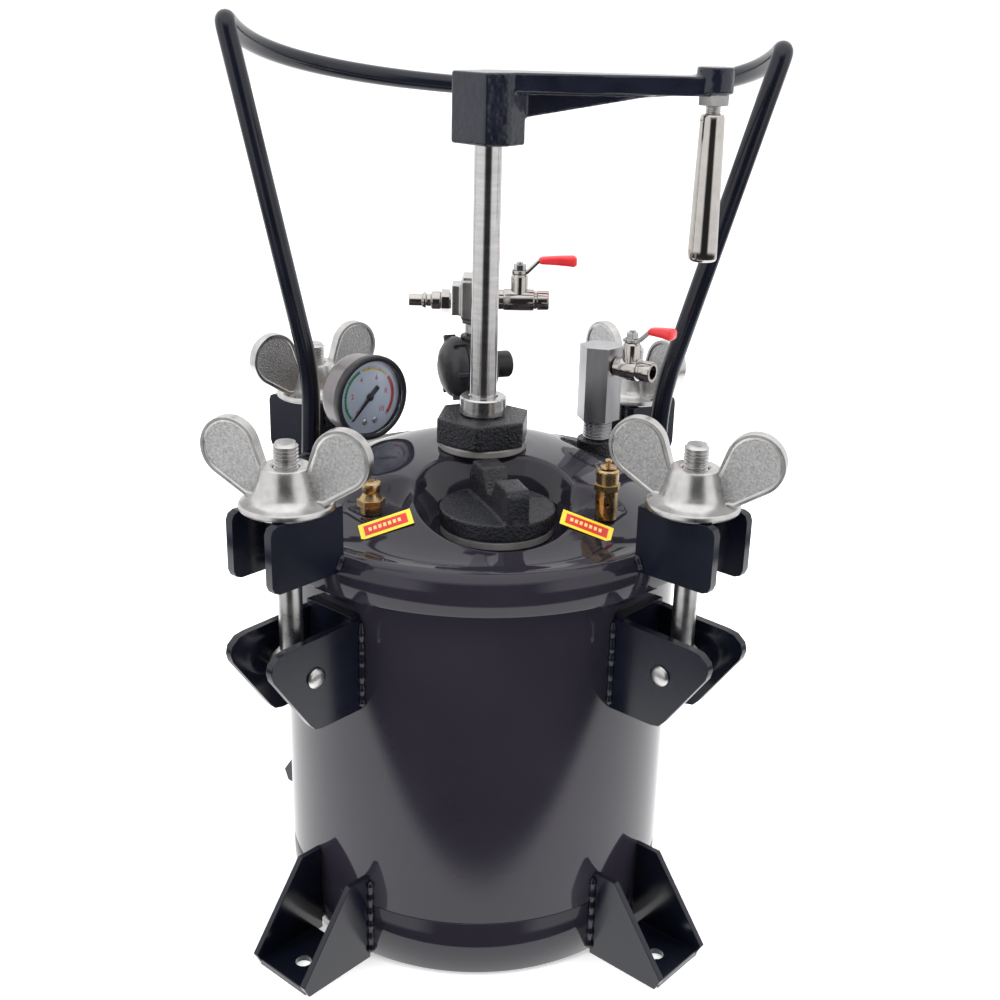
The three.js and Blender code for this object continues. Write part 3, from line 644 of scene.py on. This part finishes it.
# ---- Regulator, tee, quick plug ----
STACK = LID @ move(*REGULATOR_AT)
POINTED = STACK @ move(0, 0, 337.5) @ spin(-160) @ LEVEL
post = turned([(0, 291.3), (11, 291.3), (11, 300), (9, 302), (9, 359), (0, 359)], 64)
drum = moved(turned([
    (0, -26), (7.6, -26), (9, -24.6), (9, -13), (17, -12), (18, -11), (18, 8), (17, 9), (0, 9),
]), move(0, 0, 337.5) @ spin(-160) @ LEVEL)
piece("regulator_finish", together(post, drum), STACK, BLACK, "pot", "regulator_body",
      cast=0.7)
ribs = [moved(slab([(14, -1.6), (22.2, -1.6), (22.2, 1.6), (14, 1.6)], 9.4, 17.5), spin(30 + 60 * k))
        for k in range(6)]
knob = turned([
    (0, 9.3), (19.6, 9.3), (20.4, 10.2), (20.4, 13.6), (18.6, 17), (14, 20.5), (8, 22.8), (0, 23.4),
])
piece("regulator_knob_finish", together(knob, *ribs), POINTED, BLACK, "regulator_knob",
      "regulator_knob", bevel=0.6)


def block(x0, x1, y0, y1, z0, z1):
    return slab([(x0, y0), (x1, y0), (x1, y1), (x0, y1)], z0, z1)


piece("tee_finish", together(
    block(-8.8, 14.8, -10.8, 10.8, 371, 395.3), block(-7.8, 13.8, -9.8, 9.8, 367.8, 398.4),
    block(-14.8, -7, -8.8, 8.8, 373, 392.8), rod(6, 359.4, 368.4),
), STACK, ZINC, "pot", "air_tee", cast=0.7)
plug = together(
    turned([
        (0, 15.3), (5.4, 15.3), (5.4, 22), (6, 22.4), (6, 27.6), (5.4, 28.2), (4, 28.6), (4, 31),
        (4.6, 31.4), (5.2, 31.9), (5.2, 33.2), (4.6, 34), (3.9, 34.4), (3.9, 42.5), (3.4, 43),
        (2.4, 43), (2.4, 22), (0, 22),
    ]),
    hexagon(13.4, 16.2, 21.5),
)
piece("plug_finish", plug, STACK @ move(0, 0, 381) @ spin(180) @ LEVEL, NICKEL, "pot",
      "quick_plug", bevel=0.3)


# ---- Ball valves ----
def ball_valve(prefix, place, start, end, stem, body, nodes, reach):
    barrel = moved(turned([
        (0, start), (6.6, start), (6.6, start + 3.4), (7, start + 3.6), (7.2, start + 4.4),
        (7.2, end - 10.6), (6.9, end - 9.8), (6, end - 9.4), (6, end - 8), (6.6, end - 7.4),
        (6.6, end - 0.8), (6.2, end), (4.4, end), (4.4, end - 12), (0, end - 12),
    ]), LEVEL)
    housing = moved(turned([
        (0, 2), (5.6, 2), (5.6, 15.4), (5.2, 16.4), (4.6, 17), (0, 17),
    ], 64), move(stem, 0))
    piece(prefix + "_finish", together(barrel, housing), place, NICKEL, "pot", nodes[0],
          crease=35)
    strip = plate([(-5, 17.4), (5.2, 17.4), (12.6, 24.9), (reach - 3, 24.9), (reach - 3, 26.9),
                   (12, 26.9), (4.6, 19.6), (-5, 19.6)], -3.3, 3.3)
    lever = together(strip, rod(5, 17.4, 19.6), hexagon(7.4, 19.5, 23.6), rod(2.1, 23.5, 25.1, 32))
    at = place @ move(stem, 0)
    piece(prefix + "_lever_finish", lever, at, ZINC, body, nodes[1], bevel=0.35)
    sections = 14
    corners, faces = [], []
    for k in range(sections + 1):
        f = k / sections
        x = 12.2 + (reach - 12.2) * f
        tall = 2.3 + 1.5 * f
        wide = 3.9 + 0.9 * f
        if k in (0, sections):
            tall *= 0.7
            wide *= 0.8
        centre = 26.1 + 0.3 * math.sin(math.pi * f)
        for n in range(20):
            a = 2 * math.pi * n / 20
            c, s = math.cos(a), math.sin(a)
            corners.append((x, wide * math.copysign(abs(c) ** 0.6, c),
                            centre + tall * math.copysign(abs(s) ** 0.6, s)))
    for k in range(sections):
        for n in range(20):
            m = (n + 1) % 20
            faces.append((k * 20 + n, k * 20 + m, (k + 1) * 20 + m, (k + 1) * 20 + n))
    faces += [tuple(range(20))[::-1], tuple(range(len(corners) - 20, len(corners)))]
    piece(prefix + "_sleeve_finish", (corners, faces), at, RED, body, nodes[2], crease=60)


ball_valve("air_valve", STACK @ move(0, 0, 382.5), 15.4, 48.5, 29, "air_valve_lever",
           ("air_valve_body", "air_valve_lever", "air_lever_sleeve"), 36.7)
OUTLET = LID @ move(*OUTLET_AT)
ball_valve("outlet_valve", OUTLET @ move(0, 0, 349) @ spin(OUTLET_POINTS), 12.4, 38, 22,
           "outlet_valve_lever",
           ("outlet_valve_body", "outlet_valve_lever", "outlet_lever_sleeve"), 29)

# ---- Resin outlet ----
piece("outlet_boss_finish", rod(12.9, 286.3, 298.9), OUTLET, CAST, "pot", "outlet_boss",
      bevel=0.8)
outlet_hex = slab(polygon(14.05, 6, 45), 312.5, 361)
piece("outlet_finish", together(
    outlet_hex, turned([(0, 299.3)] + threads(9.4, 299.3, 312.5, 1.9, 0.8) + [(0, 313)], 48),
), OUTLET, DULL_STEEL, "pot", "outlet_body", bevel=1.1)

# ---- Gauge ----
GAUGE = LID @ move(*GAUGE_AT) @ spin(GAUGE_FACES) @ LEVEL
piece("gauge_case_finish", turned([
    (0, -23), (22, -23), (24.6, -22.2), (26, -20.4), (26.4, -18), (26.4, -6.2), (0, -6.2),
]), GAUGE, SHELL, "pot", "gauge_case")
piece("gauge_bezel", turned([
    (26.2, -6.2), (27.4, -6), (28, -5.2), (28, -1.2), (27.6, -0.3), (26.8, 0), (25.2, 0), (24.6, -0.6),
    (24.4, -6), (25, -6.4),
]), GAUGE, BLACK, "pot", crease=50)
piece("gauge_dial_finish", turned([(0, -5.9), (24.3, -5.9), (24.3, -4.9), (0, -4.9)]), GAUGE, DIAL,
      "pot", "gauge_dial")
# The dial's own plane: right is its +X, up is its +Y, and it faces +Z.
DIAL_PLANE = GAUGE @ spin(90)


def clock(fraction):
    """The direction, in degrees, of a point on the scale from its start to its end."""
    return 225 - 270 * fraction


def arc(r0, r1, start, end, lift=-4.9):
    count = max(2, int(60 * (end - start)))
    inner, outer = [], []
    for k in range(count + 1):
        a = math.radians(clock(start + (end - start) * k / count))
        inner.append((r0 * math.cos(a), r0 * math.sin(a)))
        outer.append((r1 * math.cos(a), r1 * math.sin(a)))
    corners, faces = [], []
    for k in range(count + 1):
        for x, y in (inner[k], outer[k]):
            corners += [(x, y, lift), (x, y, lift + 0.12)]
    for k in range(count):
        a, b = 4 * k, 4 * k + 4
        faces += [(a, b, b + 2, a + 2), (a + 1, a + 3, b + 3, b + 1), (a, a + 1, b + 1, b),
                  (a + 2, b + 2, b + 3, a + 3)]
    faces += [(0, 2, 3, 1), (4 * count, 4 * count + 1, 4 * count + 3, 4 * count + 2)]
    return corners, faces


piece("dial_green", arc(18.2, 19.8, 0.02, 0.42), DIAL_PLANE, GREEN_INK, "pot")
piece("dial_amber", arc(18.2, 19.6, 0.44, 0.68), DIAL_PLANE, AMBER_INK, "pot")
piece("dial_red", arc(17.9, 20.2, 0.7, 0.99), DIAL_PLANE, RED_INK, "pot")
ticks = []
for k in range(51):
    a = clock(k / 50)
    long = 2.4 if k % 5 == 0 else 1.2
    width = 0.22 if k % 5 == 0 else 0.12
    tick = slab([(20.6 - long, -width), (20.6, -width), (20.6, width), (20.6 - long, width)], -4.9, -4.76)
    ticks.append(moved(tick, spin(a)))
piece("dial_ticks", together(*ticks), DIAL_PLANE, BLACK_INK, "pot")
for k in range(6):
    a = math.radians(clock(k / 5))
    text = bpy.data.curves.new(f"number_{k}", "FONT")
    text.body = str(2 * k)
    text.size = 0.0048
    text.extrude = 0.00006
    text.align_x = "CENTER"
    text.align_y = "CENTER"
    text.materials.append(RED_INK)
    number = bpy.data.objects.new(f"dial_number_{k}", text)
    bpy.context.scene.collection.objects.link(number)
    spot = DIAL_PLANE @ move(13.6 * math.cos(a), 13.6 * math.sin(a), -4.82)
    number.matrix_world = Matrix.Translation(spot.translation) @ spot.to_quaternion().to_matrix().to_4x4()
    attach(number, "pot")
for k, x in enumerate((-4, 4.4)):
    screw = turned([(0, -4.9), (1.9, -4.9), (1.9, -4.3), (1.4, -3.9), (0, -3.8)], 32)
    piece(f"dial_screw_{k}", screw, DIAL_PLANE @ move(x, -16.2), ZINC, "pot")
needle = together(
    slab([(-9, -1.3), (-8.4, -1.5), (0, -1.1), (19.6, -0.3), (20, 0), (19.6, 0.3), (0, 1.1),
          (-8.4, 1.5), (-9, 1.3)], -3.8, -3.2),
    turned([(0, -3.9), (2.4, -3.9), (2.4, -3), (1.8, -2.6), (0, -2.5)], 32),
)
piece("needle_finish", needle, DIAL_PLANE @ spin(clock(0) - 1), BLACK_INK, "gauge_needle",
      "gauge_needle")
glass, nodes, links, bsdf = shader("window glass")
bsdf.inputs["Base Color"].default_value = (0.95, 0.97, 1, 1)
bsdf.inputs["Transmission Weight"].default_value = 1
bsdf.inputs["IOR"].default_value = 1.3
smear = nodes.new("ShaderNodeTexNoise")
smear.inputs["Scale"].default_value = 60
haze = nodes.new("ShaderNodeMapRange")
haze.inputs["To Min"].default_value = 0.02
haze.inputs["To Max"].default_value = 0.06
links.new(smear.outputs["Fac"], haze.inputs["Value"])
links.new(haze.outputs["Result"], bsdf.inputs["Roughness"])
piece("gauge_glass", turned([(0, -1.6), (24.3, -1.6), (24.3, -1.0), (0, -0.9)]), GAUGE, glass, "pot")
softened("gauge_elbow", BRASS, "pot", 0.4)

# ---- Inside the tank ----
for node, material in (("agitator_paddle", STEEL), ("siphon_tube", STEEL), ("lid_gasket", RUBBER)):
    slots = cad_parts[node].data.materials
    for k in range(len(slots)):
        slots[k] = material

# ---- Floor, light and camera ----
floor_mesh = bpy.data.meshes.new("floor")
floor_mesh.from_pydata(*[[(x, y, 0) for x, y in polygon(9, 64)], [], [tuple(range(64))]])
floor = bpy.data.objects.new("floor", floor_mesh)
floor_finish = finish("pale floor", (0.84, 0.84, 0.845), (0.87, 0.87, 0.875), (0.6, 0.7), patch=2)
glow = floor_finish.node_tree.nodes["Principled BSDF"]
glow.inputs["Emission Color"].default_value = (1, 1, 1, 1)
glow.inputs["Emission Strength"].default_value = 0.42
glow.inputs["Specular IOR Level"].default_value = 0.1
floor_mesh.materials.append(floor_finish)
floor.visible_glossy = False
bpy.context.scene.collection.objects.link(floor)

world = bpy.data.worlds.new("studio")
world.use_nodes = True
sky = world.node_tree
rays = sky.nodes.new("ShaderNodeLightPath")
direction = sky.nodes.new("ShaderNodeTexCoord")
split = sky.nodes.new("ShaderNodeSeparateXYZ")
sky.links.new(direction.outputs["Generated"], split.inputs["Vector"])
# The table's near edge lies where a ray falls faster than this, a little later toward the front.
table_line = sky.nodes.new("ShaderNodeMath")
table_line.operation = "MULTIPLY_ADD"
table_line.inputs[1].default_value = 0.2
fall = sky.nodes.new("ShaderNodeMath")
fall.operation = "MULTIPLY"
fall.inputs[1].default_value = -1
sky.links.new(split.outputs["Z"], fall.inputs[0])
sky.links.new(split.outputs["Y"], table_line.inputs[0])
sky.links.new(fall.outputs["Value"], table_line.inputs[2])


def panel(source, start, end, strength):
    """How brightly the studio shines where a direction passes from start to end."""
    edge = sky.nodes.new("ShaderNodeMapRange")
    edge.interpolation_type = "SMOOTHSTEP"
    edge.inputs["From Min"].default_value = start
    edge.inputs["From Max"].default_value = end
    edge.inputs["To Max"].default_value = strength
    edge.inputs["To Min"].default_value = 0.03
    sky.links.new(source, edge.inputs["Value"])
    return edge.outputs["Result"]


def brighter(a, b):
    either = sky.nodes.new("ShaderNodeMath")
    either.operation = "MAXIMUM"
    sky.links.new(a, either.inputs[0])
    sky.links.new(b, either.inputs[1])
    return either.outputs["Value"]


def both(a, b):
    product = sky.nodes.new("ShaderNodeMath")
    product.operation = "MULTIPLY"
    sky.links.new(a, product.inputs[0])
    sky.links.new(b, product.inputs[1])
    return product.outputs["Value"]


sideways = sky.nodes.new("ShaderNodeMath")
sideways.operation = "ABSOLUTE"
sky.links.new(split.outputs["X"], sideways.inputs[0])
sweep = panel(split.outputs["Y"], 0.05, 0.55, 1.0)
table = panel(table_line.outputs["Value"], 0.41, 0.44, 1.5)
ceiling = panel(split.outputs["Z"], 0.3, 0.75, 1.3)
flank = both(panel(sideways.outputs["Value"], 0.35, 0.6, 1.0), panel(split.outputs["Z"], -0.32, -0.2, 1.0))
seen = panel(rays.outputs["Is Camera Ray"], 0.4, 0.6, 1.1)
shine = brighter(brighter(brighter(sweep, table), brighter(ceiling, flank)), seen)
sky.nodes["Background"].inputs["Color"].default_value = (1, 1, 1, 1)
sky.links.new(shine, sky.nodes["Background"].inputs["Strength"])
bpy.context.scene.world = world


def soft_light(name, place, aim, width, height, power):
    data = bpy.data.lights.new(name, "AREA")
    data.shape = "RECTANGLE"
    data.size = width
    data.size_y = height
    data.energy = power
    lamp = bpy.data.objects.new(name, data)
    lamp.location = place
    lamp.rotation_euler = (Vector(aim) - Vector(place)).to_track_quat("-Z", "Y").to_euler()
    lamp.visible_glossy = False
    bpy.context.scene.collection.objects.link(lamp)


soft_light("left", (-1.7, -0.9, 0.9), (0, 0, 0.25), 0.9, 1.6, 26)
soft_light("right", (1.8, -0.7, 1.0), (0, 0, 0.25), 0.8, 1.6, 22)
soft_light("top", (0, 0.2, 2.2), (0, 0, 0.2), 1.6, 1.2, 30)

# The camera looks down at the front from 0.8 m ahead of the tank's axis.
CAMERA_AHEAD = 800
CAMERA_UP = 563.3
CAMERA_YAW = 0.015
CAMERA_DOWN = 0.353
CAMERA_ROLL = 0.026
lens = bpy.data.cameras.new("camera")
lens.sensor_width = 36
lens.lens = 48.35
camera = bpy.data.objects.new("camera", lens)
ahead = Vector((math.sin(CAMERA_YAW) * math.cos(CAMERA_DOWN),
                math.cos(CAMERA_YAW) * math.cos(CAMERA_DOWN), -math.sin(CAMERA_DOWN)))
across = Vector((math.cos(CAMERA_YAW), -math.sin(CAMERA_YAW), 0))
upward = across.cross(ahead)
right = across * math.cos(CAMERA_ROLL) + upward * math.sin(CAMERA_ROLL)
top = upward * math.cos(CAMERA_ROLL) - across * math.sin(CAMERA_ROLL)
facing = Matrix((right, top, -ahead)).transposed().to_4x4()
stand = LID @ Vector((0, -CAMERA_AHEAD, CAMERA_UP))
camera.matrix_world = Matrix.Translation(stand) @ Matrix.Rotation(lid_turn, 4, "Z") @ facing
bpy.context.scene.collection.objects.link(camera)
bpy.context.scene.camera = camera
bpy.context.scene.view_settings.view_transform = "Standard"
